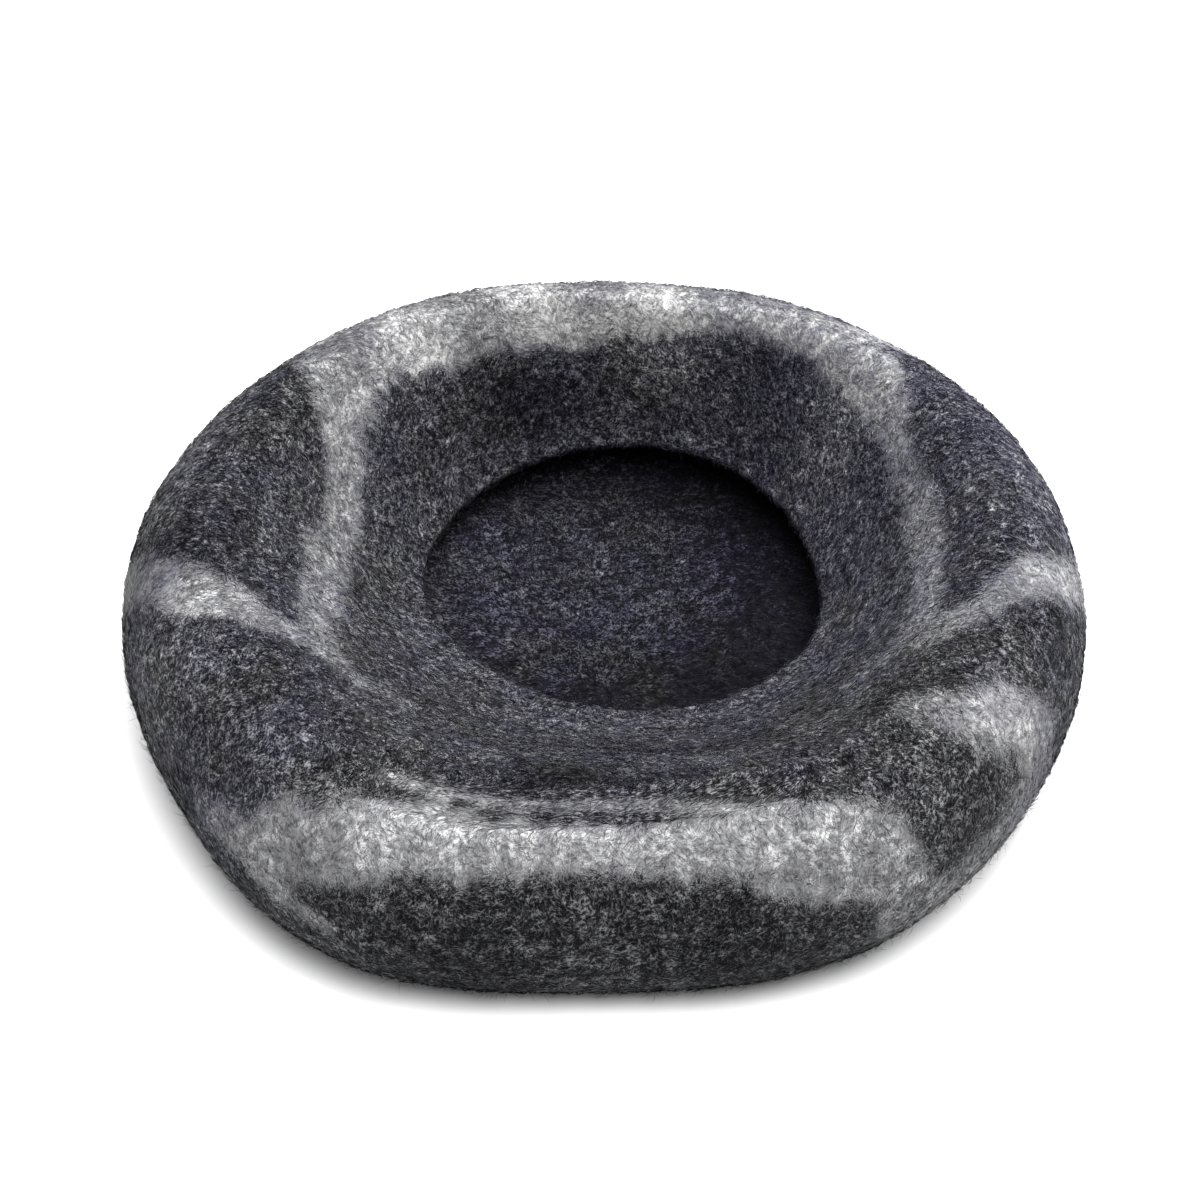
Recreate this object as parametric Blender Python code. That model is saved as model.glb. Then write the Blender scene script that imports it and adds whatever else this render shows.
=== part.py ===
"""Felt cat cave, pushed in so that it lies as a round, double-walled bed.

The cave is one seamless wet-felted pod. Its roof is pushed down into its lower half, so the felt
runs from the flat base up the outer wall, rolls over the rim, and comes down again as the inner
wall to the edge of the round entrance, which now lies low at the back of the bed.

Run it with:  blender --background --python part.py
Metres, +Z up, +Y to the back of the bed; the origin is on the floor at the middle of its outline.
"""

import math
from typing import NamedTuple

import bmesh
import bpy
from mathutils import Vector

UP = Vector((0.0, 0.0, 1.0))

# The felt itself.
FELT_THICKNESS = 0.0065
LIP_ROUNDING = 0.0024

# The middle of the entrance hole, which now lies low at the back of the bed.
ENTRANCE_CENTRE = Vector((0.018, 0.085, 0.0))

# The front crease: a shallow furrow along the rim where the folded felt buckles, with a ridge behind it.
CREASE_MIDDLE = math.radians(-86.0)
CREASE_HALF_SPAN = math.radians(46.0)
CREASE_WANDER = 0.003
FURROW_FROM_CREST = -0.003
FURROW_DEPTH = 0.0048
FURROW_HALF_WIDTH = 0.0078
RIDGE_FROM_CREST = 0.010
RIDGE_HEIGHT = 0.0026
RIDGE_HALF_WIDTH = 0.0075

# How full the walls are: 2 is an oval, and less is flatter between its ends.
UNDERSIDE_FULLNESS = 2.1
SHOULDER_FULLNESS = 2.15

# How finely the felt is divided. The inner wall's rows are closer together near the rim.
COLUMNS = 68
OUTER_ROWS = 14
INNER_ROWS = 18
ROW_CROWDING = 1.25

WOOL_COLOUR = (0.075, 0.078, 0.095, 1.0)
WOOL_ROUGHNESS = 0.95


class Wave(NamedTuple):
    """One slow wave in the hand-felted walls."""

    height: float  # metres
    around: int  # waves in one turn
    along: float  # radians from the foot to the entrance
    phase: float  # radians


WAVES = (
    Wave(0.0008, 3, 9.0, 0.6),
    Wave(0.0005, 5, -14.0, 2.1),
    Wave(0.0003, 8, 21.0, 4.0),
)


class Section(NamedTuple):
    """The felt's section at one bearing, measured from the middle of the bed. Metres and degrees."""

    bearing: float  # degrees, from +X towards +Y
    foot: float  # where the base leaves the floor
    reach: float  # the furthest point of the outer wall
    belly: float  # the height of that point
    crest: float  # the height of the rim
    roll: float  # how far the top of the rim lies inside the reach
    turn: float  # how far the rim stays level before the inner wall falls away
    lip: float  # the height of the entrance's edge
    fall: float  # degrees below level at which the felt meets that edge
    flare: float  # the length over which it takes up that slope
    mouth: float  # from the middle of the entrance to its edge


SECTIONS = (
    #       bearing  foot   reach  belly  crest   roll  turn   lip     fall  flare  mouth
    Section(-90.0, 0.200, 0.247, 0.056, 0.115, 0.041, 0.060, 0.0185, 8.0, 0.070, 0.1080),
    Section(-60.0, 0.196, 0.262, 0.060, 0.120, 0.045, 0.058, 0.0210, 10.0, 0.062, 0.1120),
    Section(-30.0, 0.172, 0.260, 0.067, 0.130, 0.047, 0.052, 0.0300, 18.0, 0.052, 0.1160),
    Section(0.0, 0.168, 0.262, 0.071, 0.136, 0.047, 0.046, 0.0370, 30.0, 0.042, 0.1035),
    Section(30.0, 0.190, 0.264, 0.072, 0.138, 0.047, 0.038, 0.0400, 42.0, 0.034, 0.1000),
    Section(60.0, 0.203, 0.261, 0.073, 0.141, 0.047, 0.031, 0.0410, 48.0, 0.029, 0.1060),
    Section(90.0, 0.205, 0.259, 0.073, 0.141, 0.046, 0.028, 0.0400, 50.0, 0.027, 0.1120),
    Section(120.0, 0.205, 0.263, 0.072, 0.141, 0.046, 0.031, 0.0350, 46.0, 0.031, 0.1170),
    Section(150.0, 0.192, 0.262, 0.071, 0.138, 0.047, 0.038, 0.0270, 36.0, 0.038, 0.1215),
    Section(180.0, 0.168, 0.261, 0.069, 0.134, 0.047, 0.046, 0.0210, 22.0, 0.048, 0.1220),
    Section(210.0, 0.172, 0.258, 0.065, 0.128, 0.046, 0.054, 0.0190, 12.0, 0.058, 0.1120),
    Section(240.0, 0.200, 0.266, 0.059, 0.120, 0.045, 0.060, 0.0180, 8.0, 0.068, 0.1070),
)


def section_at(angle: float) -> Section:
    """The section at any angle in radians: a closed smooth curve through the table's rows."""
    step = 360.0 / len(SECTIONS)
    place = (math.degrees(angle) - SECTIONS[0].bearing) / step
    first = math.floor(place)
    t = place - first
    rows = [SECTIONS[(first + k) % len(SECTIONS)] for k in (-1, 0, 1, 2)]
    weights = (
        0.5 * (-t + 2 * t**2 - t**3),
        0.5 * (2 - 5 * t**2 + 3 * t**3),
        0.5 * (t + 4 * t**2 - 3 * t**3),
        0.5 * (-(t**2) + t**3),
    )
    return Section(*(sum(w * row[i] for w, row in zip(weights, rows)) for i in range(len(rows[0]))))


def bearing_vector(angle: float) -> Vector:
    """The level unit vector at this angle."""
    return Vector((math.cos(angle), math.sin(angle), 0.0))


def outer_wall(section: Section, out: Vector) -> list[Vector]:
    """Points from the foot to the crest: two quarter ovals that meet at the belly."""
    crest_radius = section.reach - section.roll
    points = []
    for row in range(OUTER_ROWS + 1):
        turn = math.pi * (row / OUTER_ROWS - 0.5)
        bulge, rise = math.cos(turn), math.sin(turn)
        if rise < 0:
            power = 2 / UNDERSIDE_FULLNESS
            radius = section.foot + (section.reach - section.foot) * bulge**power
            height = section.belly * (1 - abs(rise) ** power)
        else:
            power = 2 / SHOULDER_FULLNESS
            radius = crest_radius + section.roll * bulge**power
            height = section.belly + (section.crest - section.belly) * rise**power
        points.append(out * radius + UP * height)
    return points


def inner_wall(section: Section, crest: Vector, out: Vector) -> list[Vector]:
    """Points from just past the crest to the entrance's edge: one cubic curve, closer near the crest."""
    edge = ENTRANCE_CENTRE + out * section.mouth
    edge.z = section.lip
    inward = edge - crest
    inward.z = 0.0
    inward.normalize()
    slope = math.radians(section.fall)
    arrival = inward * math.cos(slope) - UP * math.sin(slope)
    leave = crest + inward * section.turn
    arrive = edge - arrival * section.flare
    points = []
    for row in range(1, INNER_ROWS + 1):
        t = (row / INNER_ROWS) ** ROW_CROWDING
        s = 1 - t
        points.append(crest * s**3 + leave * (3 * s * s * t) + arrive * (3 * s * t * t) + edge * t**3)
    return points


def hump(distance: float, half_width: float) -> float:
    """A smooth bump of height 1 that is gone about two half-widths away."""
    return math.exp(-((distance / half_width) ** 2))


def crease_rise(angle: float, from_crest: float) -> float:
    """How far the front crease lifts the felt, at this angle and distance inside the crest."""
    off = math.remainder(angle - CREASE_MIDDLE, math.tau) / CREASE_HALF_SPAN
    if abs(off) >= 1:
        return 0.0
    fade = math.cos(0.5 * math.pi * off)
    place = from_crest - CREASE_WANDER * math.sin(math.pi * off)
    furrow = FURROW_DEPTH * hump(place - FURROW_FROM_CREST, FURROW_HALF_WIDTH)
    ridge = RIDGE_HEIGHT * hump(place - RIDGE_FROM_CREST, RIDGE_HALF_WIDTH)
    return fade * (ridge - furrow)


def waviness(angle: float, along: float) -> float:
    """How far the waves lift the felt, at this angle and share of the way from foot to entrance."""
    settle = math.sqrt(math.sin(math.pi * along))
    return settle * sum(
        wave.height * math.sin(wave.around * angle + wave.along * along + wave.phase) for wave in WAVES
    )


def felt_column(angle: float) -> list[Vector]:
    """The visible face of the felt at one angle, from the foot over the rim to the entrance."""
    section = section_at(angle)
    out = bearing_vector(angle)
    sideways = UP.cross(out)
    wall = outer_wall(section, out)
    column = wall + inner_wall(section, wall[-1], out)
    last = len(column) - 1
    shaped = [column[0]]
    from_crest = -(column[OUTER_ROWS] - column[OUTER_ROWS - 1]).length
    for row in range(1, last):
        here = column[row]
        rise = waviness(angle, row / last)
        if row >= OUTER_ROWS - 1:
            rise += crease_rise(angle, from_crest)
            from_crest += (column[row + 1] - here).length
        normal = sideways.cross(column[row + 1] - column[row - 1]).normalized()
        shaped.append(here + normal * rise)
    shaped.append(column[last])
    return shaped


def felt_face() -> bmesh.types.BMesh:
    """The felt's visible face as an open mesh: the flat base and a band of quads up to the entrance."""
    mesh = bmesh.new()
    rings = []
    columns = [felt_column(math.tau * k / COLUMNS) for k in range(COLUMNS)]
    for row in range(len(columns[0])):
        rings.append([mesh.verts.new(column[row]) for column in columns])
    mesh.faces.new(reversed(rings[0]))
    for lower, upper in zip(rings, rings[1:]):
        for k in range(COLUMNS):
            after = (k + 1) % COLUMNS
            mesh.faces.new((lower[k], lower[after], upper[after], upper[k]))
    return mesh


def centre_on_floor(mesh: bmesh.types.BMesh) -> None:
    """Moves the mesh so that its outline is centred on the origin and its base is on the floor."""
    low = [min(v.co[axis] for v in mesh.verts) for axis in range(3)]
    high = [max(v.co[axis] for v in mesh.verts) for axis in range(3)]
    middle = Vector(((low[0] + high[0]) / 2, (low[1] + high[1]) / 2, low[2]))
    bmesh.ops.translate(mesh, verts=mesh.verts, vec=-middle)


def felt_material() -> bpy.types.Material:
    """Dark matted wool."""
    material = bpy.data.materials.new("charcoal_felt")
    material.use_nodes = True
    shader = material.node_tree.nodes["Principled BSDF"]
    shader.inputs["Base Color"].default_value = WOOL_COLOUR
    shader.inputs["Roughness"].default_value = WOOL_ROUGHNESS
    shader.inputs["Metallic"].default_value = 0.0
    return material


def felt_shell() -> bpy.types.Object:
    """The whole cave: the face thickened inwards to the felt's thickness, with its edge rounded."""
    mesh = felt_face()
    centre_on_floor(mesh)
    data = bpy.data.meshes.new("felt_shell")
    mesh.to_mesh(data)
    mesh.free()
    data.materials.append(felt_material())
    shell = bpy.data.objects.new("felt_shell", data)
    bpy.context.scene.collection.objects.link(shell)
    thicken = shell.modifiers.new("felt thickness", "SOLIDIFY")
    thicken.thickness = FELT_THICKNESS
    thicken.offset = -1.0
    thicken.use_even_offset = True
    rounding = shell.modifiers.new("rounded entrance edge", "BEVEL")
    rounding.width = LIP_ROUNDING
    rounding.segments = 2
    rounding.limit_method = "ANGLE"
    rounding.angle_limit = math.radians(60.0)
    data.shade_smooth()
    return shell


def main() -> None:
    """Clears the scene and builds the cave."""
    for obj in list(bpy.data.objects):
        bpy.data.objects.remove(obj)
    felt_shell()


main()
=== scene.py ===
"""Dresses the felt cat cave: matted wool, its light bands and its fuzz, on a plain studio floor.

The cave is one seamless piece of wet-felted wool, pushed in so that it lies as a round bed. The
felt's own surface is laid out by bearing around the bed and by distance over the rim, so a band of
light wool is drawn by a few places on it. Metres; +Z up; +Y to the back of the bed.
"""

import logging
import math
from dataclasses import dataclass, field, fields
from enum import Enum
from typing import Callable, ClassVar, NamedTuple, Sequence, Union

import bpy
import numpy as np
from mathutils import Euler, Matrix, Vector, noise


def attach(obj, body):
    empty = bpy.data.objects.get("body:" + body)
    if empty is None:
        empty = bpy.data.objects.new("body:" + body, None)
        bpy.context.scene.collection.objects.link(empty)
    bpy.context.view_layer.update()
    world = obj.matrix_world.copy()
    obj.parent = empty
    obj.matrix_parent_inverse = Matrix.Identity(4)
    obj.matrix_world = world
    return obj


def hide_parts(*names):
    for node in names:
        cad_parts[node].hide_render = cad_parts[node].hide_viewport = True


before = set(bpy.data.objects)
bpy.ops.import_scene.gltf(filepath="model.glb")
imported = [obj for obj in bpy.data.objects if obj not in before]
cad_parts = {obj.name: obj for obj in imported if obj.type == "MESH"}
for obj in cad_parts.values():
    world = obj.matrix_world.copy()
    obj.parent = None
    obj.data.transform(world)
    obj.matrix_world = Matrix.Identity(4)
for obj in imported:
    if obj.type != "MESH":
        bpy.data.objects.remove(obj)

log = logging.getLogger("felt_cat_cave")

CAD_SHELL = "felt_shell"
BODY = "root"
SEED = 41
MM = 0.001
UP = np.array((0.0, 0.0, 1.0))
BARE = 0.05  # metres, as far from a band as wool that has none near it

Number = Union[float, "Field"]


class Seed(float, Enum):
    """Where each smooth noise is read, so that no two are alike."""

    LUMP = 3.0
    TUFT = 9.0
    WAY = 20.0
    CLUMP = 30.0
    SPOT = 33.0
    RAGGED = 50.0
    SWAY = 53.0
    STREAK = 58.0
    TONE = 60.0
    VIOLET = 70.0
    FINE_VIOLET = 73.0


# ---------------------------------------------------------------------------------------------
# Shader tools
# ---------------------------------------------------------------------------------------------


def operator(operation: str, reflected: bool = False) -> Callable[["Field", Number], "Field"]:
    """A method of Field that adds one Math node.

    Args:
        operation: the node's operation.
        reflected: whether the other value comes first, as in 1 - mask.

    Returns:
        The method.
    """

    def method(self: "Field", other: Number) -> "Field":
        """The node's result for this field and the other value."""
        return self.math(operation, *((other, self) if reflected else (self, other)))

    return method


class Field:
    """A value that varies over the surface: one shader socket, with Python's arithmetic."""

    def __init__(self, shader: "Shader", socket: bpy.types.NodeSocket) -> None:
        """Wraps a socket of this shader."""
        self.shader = shader
        self.socket = socket

    def math(self, operation: str, *values: Number) -> "Field":
        """The result of one Math node."""
        node = self.shader.node("ShaderNodeMath", {"operation": operation}, dict(enumerate(values)))
        return Field(self.shader, node.outputs[0])

    __add__, __radd__ = operator("ADD"), operator("ADD", reflected=True)
    __sub__, __rsub__ = operator("SUBTRACT"), operator("SUBTRACT", reflected=True)
    __mul__, __rmul__ = operator("MULTIPLY"), operator("MULTIPLY", reflected=True)
    __truediv__, __rtruediv__ = operator("DIVIDE"), operator("DIVIDE", reflected=True)
    larger, smaller = operator("MAXIMUM"), operator("MINIMUM")

    def step(self, low: float, high: float) -> "Field":
        """A smooth step: 0 at low, 1 at high, whichever of them is the larger."""
        values = {"Value": self, "From Min": low, "From Max": high}
        node = self.shader.node("ShaderNodeMapRange", {"interpolation_type": "SMOOTHSTEP"}, values)
        return Field(self.shader, node.outputs[0])

    def plus(self, weights: Sequence[float], *parts: "Field") -> "Field":
        """This value, with each of the parts added times its weight."""
        total = self
        for weight, part in zip(weights, parts):
            total = total + part * weight
        return total

    def mixed(self, other: Number, share: "Field") -> "Field":
        """This value where share is 0, the other where it is 1."""
        return self + (other - self) * share


class Shader:
    """A node material, and the one method that adds nodes to it."""

    def __init__(self, name: str) -> None:
        """Starts a material that has its output node alone."""
        self.material = bpy.data.materials.new(name)
        self.material.use_nodes = True
        self.tree = self.material.node_tree
        self.tree.nodes.clear()

    def node(self, kind: str, settings: dict, values: dict) -> bpy.types.Node:
        """Adds a node.

        Args:
            kind: the node's type.
            settings: its properties, set first; "stops" are a colour ramp's (place, colour) pairs.
            values: a number, a colour, a Field or a socket for each input, by its name or index.

        Returns:
            The new node.
        """
        node = self.tree.nodes.new(kind)
        for name, value in settings.items():
            if name == "stops":
                self._set_stops(node.color_ramp, value)
            else:
                setattr(node, name, value)
        for name, value in values.items():
            if isinstance(value, Field):
                value = value.socket
            if isinstance(value, bpy.types.NodeSocket):
                self.tree.links.new(value, node.inputs[name])
            else:
                node.inputs[name].default_value = value
        return node

    @staticmethod
    def _set_stops(ramp: bpy.types.ColorRamp, stops: Sequence[tuple]) -> None:
        """Gives a ramp these stops."""
        while len(ramp.elements) < len(stops):
            ramp.elements.new(0.5)
        for element, (place, colour) in zip(ramp.elements, stops):
            element.position = place
            element.color = (*colour, 1.0)

    def attribute(self, name: str) -> bpy.types.Node:
        """The node that reads an attribute of the mesh."""
        return self.node("ShaderNodeAttribute", {"attribute_name": name}, {})

    def number(self, name: str) -> Field:
        """A number that the mesh holds at each point."""
        return Field(self, self.attribute(name).outputs["Fac"])

    def vector_math(self, operation: str, *values: object) -> bpy.types.NodeSocket:
        """The vector result of one Vector Math node."""
        node = self.node("ShaderNodeVectorMath", {"operation": operation}, dict(enumerate(values)))
        return node.outputs[0]

    def scaled(self, vector: Union[bpy.types.NodeSocket, tuple], scale: Number) -> bpy.types.NodeSocket:
        """The vector times a number."""
        values = {0: vector, "Scale": scale}
        return self.node("ShaderNodeVectorMath", {"operation": "SCALE"}, values).outputs[0]

    def noise(self, place: bpy.types.NodeSocket, size: float, detail: float) -> Field:
        """Smooth noise from 0 to 1.

        Args:
            place: where it is read.
            size: how large its lumps are, in metres.
            detail: how many finer layers it has.

        Returns:
            The noise.
        """
        values = {"Vector": place, "Scale": 1 / size, "Detail": detail}
        return Field(self, self.node("ShaderNodeTexNoise", {}, values).outputs[0])

    def finish(self, surface: bpy.types.Node) -> bpy.types.Material:
        """Connects the surface shader, and returns the material."""
        self.node("ShaderNodeOutputMaterial", {}, {"Surface": surface.outputs[0]})
        return self.material


# ---------------------------------------------------------------------------------------------
# The shape of the felt
# ---------------------------------------------------------------------------------------------


@dataclass(frozen=True)
class Section:
    """The felt's section at one bearing, as in the part's source. Metres and degrees."""

    bearing: float  # degrees, from +X towards +Y
    foot: float  # where the base leaves the floor
    reach: float  # the furthest point of the outer wall
    belly: float  # the height of that point
    crest: float  # the height of the rim
    roll: float  # how far the top of the rim lies inside the reach
    turn: float  # how far the rim stays level before the inner wall falls away
    lip: float  # the height of the entrance's edge
    fall: float  # degrees below level at which the felt meets that edge
    flare: float  # the length over which it takes up that slope
    mouth: float  # from the middle of the entrance to its edge


SECTIONS = (
    #       bearing  foot   reach  belly  crest   roll  turn   lip     fall  flare  mouth
    Section(-90.0, 0.200, 0.247, 0.056, 0.115, 0.041, 0.060, 0.0185, 8.0, 0.070, 0.1080),
    Section(-60.0, 0.196, 0.262, 0.060, 0.120, 0.045, 0.058, 0.0210, 10.0, 0.062, 0.1120),
    Section(-30.0, 0.172, 0.260, 0.067, 0.130, 0.047, 0.052, 0.0300, 18.0, 0.052, 0.1160),
    Section(0.0, 0.168, 0.262, 0.071, 0.136, 0.047, 0.046, 0.0370, 30.0, 0.042, 0.1035),
    Section(30.0, 0.190, 0.264, 0.072, 0.138, 0.047, 0.038, 0.0400, 42.0, 0.034, 0.1000),
    Section(60.0, 0.203, 0.261, 0.073, 0.141, 0.047, 0.031, 0.0410, 48.0, 0.029, 0.1060),
    Section(90.0, 0.205, 0.259, 0.073, 0.141, 0.046, 0.028, 0.0400, 50.0, 0.027, 0.1120),
    Section(120.0, 0.205, 0.263, 0.072, 0.141, 0.046, 0.031, 0.0350, 46.0, 0.031, 0.1170),
    Section(150.0, 0.192, 0.262, 0.071, 0.138, 0.047, 0.038, 0.0270, 36.0, 0.038, 0.1215),
    Section(180.0, 0.168, 0.261, 0.069, 0.134, 0.047, 0.046, 0.0210, 22.0, 0.048, 0.1220),
    Section(210.0, 0.172, 0.258, 0.065, 0.128, 0.046, 0.054, 0.0190, 12.0, 0.058, 0.1120),
    Section(240.0, 0.200, 0.266, 0.059, 0.120, 0.045, 0.060, 0.0180, 8.0, 0.068, 0.1070),
)


@dataclass(frozen=True)
class Wave:
    """One slow wave in the hand-felted walls."""

    height: float  # metres
    around: int  # waves in one turn
    along: float  # radians from the foot to the entrance
    phase: float  # radians


@dataclass(frozen=True)
class Lump:
    """One size of the felt's own unevenness."""

    size: float  # metres from lump to lump
    height: float  # metres


@dataclass(frozen=True)
class Crease:
    """The shallow buckle along the front of the rim: a furrow with a ridge behind it."""

    middle: float = -86.0  # degrees
    half_span: float = 46.0  # degrees
    wander: float = 0.003
    furrow_place: float = -0.003  # inside the crest
    furrow_depth: float = 0.0048
    furrow_half_width: float = 0.0078
    ridge_place: float = 0.010
    ridge_height: float = 0.0026
    ridge_half_width: float = 0.0075
    fold_place: float = -0.0058
    fold_depth: float = 0.0022  # the sharp fold at the bottom of the furrow
    fold_half_width: float = 0.0030

    def rise(self, angles: np.ndarray, from_crest: np.ndarray) -> np.ndarray:
        """How far the crease lifts the felt.

        Args:
            angles: the bearing of each column, in radians, as a column vector.
            from_crest: the distance inside the crest, for each column and row.

        Returns:
            The lift of each column and row, in metres.
        """
        turn = angles - math.radians(self.middle)
        off = (np.mod(turn + math.pi, math.tau) - math.pi) / math.radians(self.half_span)
        fade = np.where(np.abs(off) < 1, np.cos(0.5 * math.pi * off), 0.0)
        place = from_crest - self.wander * np.sin(math.pi * off)
        furrow, ridge, fold = (
            size * np.exp(-(((place - middle) / half_width) ** 2))
            for size, middle, half_width in (
                (self.furrow_depth, self.furrow_place, self.furrow_half_width),
                (self.ridge_height, self.ridge_place, self.ridge_half_width),
                (self.fold_depth, self.fold_place, self.fold_half_width),
            )
        )
        return fade * (ridge - (furrow + fold))


class Band(NamedTuple):
    """One place along a band of light wool."""

    bearing: float  # degrees
    inside: float  # mm inside the crest of the rim, over the felt
    half: float  # half width, mm
    light: float  # 1 is all light wool


def band(*places: tuple[float, float, float, float]) -> tuple[Band, ...]:
    """The places along one band."""
    return tuple(Band(*place) for place in places)


# The light bands make an open net over the bed. The back rim, the front rim and the bands that
# run inwards at the sides are placed as seen. The ones down the outer wall behind go on in kind,
# and those that run in under the bowl fade away.
BANDS: dict[str, tuple[Band, ...]] = {
    "back rim": band(
        (141, 16, 22, 1.0), (134, 13, 24, 1.0), (126, 14, 25, 1.0), (118, 13, 25, 1.0),
        (110, 14, 25, 1.0), (100, 15, 25, 1.0), (89, 11, 23, 1.0), (77, 4, 20, 1.0),
        (66, 2, 18, 1.0), (56, 4, 18, 1.0), (48, 9, 18, 1.0),
    ),
    "left radial": band(
        (142, 24, 23, 1.0), (146, 38, 22, 1.0), (150, 53, 20, 1.0), (155, 68, 18, 1.0),
        (161, 82, 17, 0.95), (167, 94, 17, 0.85), (176, 102, 17, 0.8), (188, 97, 16, 0.75),
        (203, 77, 14, 0.75), (212, 60, 12, 0.7), (222, 74, 11, 0.5), (230, 92, 10, 0.3),
    ),
    "left": band(
        (178, -90, 17, 0.8), (184, -62, 15, 0.9), (187, -38, 14, 1.0), (194, -14, 15, 1.0),
        (199, 7, 15, 1.0), (205, 27, 15, 0.95), (211, 50, 14, 0.75),
    ),
    "right radial": band(
        (46, 15, 17, 1.0), (37, 21, 19, 1.0), (32, 28, 17, 0.95), (25, 42, 14, 0.8),
        (16, 52, 14, 0.72), (9, 59, 13, 0.65), (3, 60, 13, 0.6), (-3, 63, 12, 0.6),
        (-10, 62, 11, 0.65), (-18, 60, 11, 0.62), (-26, 52, 11, 0.55), (-36, 62, 10, 0.4),
        (-44, 78, 9, 0.25),
    ),
    "right upper": band(
        (2, -92, 16, 0.8), (-4, -60, 15, 0.9), (-9, -33, 16, 1.0), (-12, -17, 14, 1.0),
        (-16, -5, 11, 0.85), (-26, 18, 11, 0.7), (-32, 33, 13, 0.65),
    ),
    "right lower": band(
        (-44, 2, 10, 0.5), (-39, -20, 14, 0.95), (-35.5, -35, 18, 1.0), (-33, -50, 19, 1.0),
        (-31, -68, 20, 0.95), (-32, -84, 20, 0.75), (-39, -95, 19, 0.6), (-48, -98, 17, 0.55),
        (-56, -90, 16, 0.6),
    ),
    "front rim": band(
        (-140, -72, 9, 0.45), (-134, -65, 12, 0.75), (-129, -56, 18, 0.95), (-123, -42, 20, 1.0),
        (-117, -27, 20.5, 1.0), (-111, -20, 20.5, 1.0), (-104, -20.5, 15.8, 1.0), (-97, -20.5, 14, 1.0),
        (-88, -21.8, 12.5, 1.0), (-79, -27, 15.3, 1.0), (-74, -30, 16.6, 1.0), (-70, -34, 18.8, 1.0),
        (-65, -37.5, 23.5, 1.0), (-61, -45.5, 25, 0.95), (-58, -55, 24, 0.85), (-55, -69, 16, 0.65),
    ),
    "front ridge": band(
        (-119, 6, 5, 0.45), (-113, 5.5, 4.2, 0.7), (-108, 3.8, 3.6, 0.8), (-104, 2.1, 3.2, 1.0),
        (-98, 2.2, 3.0, 1.0), (-92, 2.3, 2.9, 1.0), (-86, 2.6, 2.9, 1.0), (-82, 2.0, 3.0, 1.0),
        (-79, -0.2, 3.3, 1.0), (-76, -1.5, 3.7, 0.95), (-73, -4.4, 5.3, 0.9), (-70, -7.5, 6, 0.75),
        (-67, -8, 5, 0.5),
    ),
    "front left foot": band(
        (-130, -68, 11, 0.85), (-126.5, -77, 9, 0.85), (-123.5, -80, 7, 0.7), (-121, -86, 6, 0.6),
    ),
    "back left foot": band(
        (134, 6, 16, 1.0), (134, -22, 16, 0.95), (139, -52, 15, 0.9), (148, -78, 15, 0.85),
        (163, -92, 15, 0.8), (178, -90, 15, 0.8),
    ),
    "back foot": band(
        (148, -78, 14, 0.85), (132, -88, 14, 0.85), (112, -84, 15, 0.9), (95, -72, 16, 0.95),
        (80, -66, 16, 0.95), (62, -74, 15, 0.9), (45, -86, 14, 0.85), (30, -88, 15, 0.85),
    ),
    "back stem": band(
        (92, 6, 16, 0.95), (88, -20, 14, 0.85), (87, -46, 14, 0.9), (88, -70, 15, 0.95),
    ),
    "back right foot": band(
        (51, 6, 13, 1.0), (47, -20, 14, 0.95), (40, -50, 15, 0.9), (30, -80, 15, 0.85),
        (14, -96, 15, 0.8), (2, -96, 15, 0.8),
    ),
}


class Patch(NamedTuple):
    """One broad soft patch of shade: in some painted light or painted shade, in others the wool's own
    lighter or darker tone.
    """

    bearing: float  # degrees
    inside: float  # mm inside the crest
    radius: float  # mm
    shift: float  # of the shade


# Partly painted light and shade: the back rim's inner face is lighter where the lamps leave it dim, the
# crest and the right side are darker where the lamps light them most, the lowest front wall is darker
# towards the floor, and the inner front slope is darker as a painted shadow. The rest is the wool's own
# lighter or darker tone.
TONE_AND_PAINTED_LIGHT_PATCHES = tuple(
    Patch(*row)
    for row in (
        (126, 24, 28, 0.18), (103, 28, 32, 0.30), (84, 24, 24, 0.19), (130, -8, 24, -0.14),
        (112, -12, 26, -0.13), (92, -12, 26, -0.16), (72, -12, 26, -0.12), (112, 68, 32, -0.24),
        (76, 46, 36, 0.18), (32, 78, 30, 0.18), (12, 62, 26, -0.07), (10, -40, 45, 0.09),
        (160, -20, 40, 0.05), (187, -30, 28, -0.28), (201, -52, 30, 0.13), (-142, -72, 26, -0.05),
        (-124, -50, 26, -0.10), (-98, 38, 24, -0.26), (-102, 17, 15, -0.12), (-84, 15, 15, -0.12),
        (-80, -9, 8, -0.08), (-96, -20, 38, -0.03), (-106, -102, 52, -0.23), (-74, -102, 52, -0.23),
        (-44, -60, 30, -0.10), (-18, -28, 30, -0.12), (-30, -75, 26, -0.10),
    )
)


@dataclass
class Grid:
    """The felt's visible face as columns of points, with what is known at each of them."""

    points: np.ndarray  # columns x rows x 3
    normals: np.ndarray  # columns x rows x 3
    inside: np.ndarray  # columns x rows: metres inside the crest, over the felt
    felt: np.ndarray | None = None  # columns x rows x 4: band_far, band_light, raggedness, streak

    def place(self, bearing: float, inside: float) -> np.ndarray:
        """The point of the felt at this bearing, in degrees, and distance inside the crest."""
        count = len(self.points)
        turn = (bearing % 360.0) / 360.0 * count
        first = int(turn) % count
        share = turn - int(turn)
        found = []
        for column in (first, (first + 1) % count):
            along = self.inside[column]
            found.append([np.interp(inside, along, self.points[column][:, axis]) for axis in range(3)])
        return (1 - share) * np.array(found[0]) + share * np.array(found[1])


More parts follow.
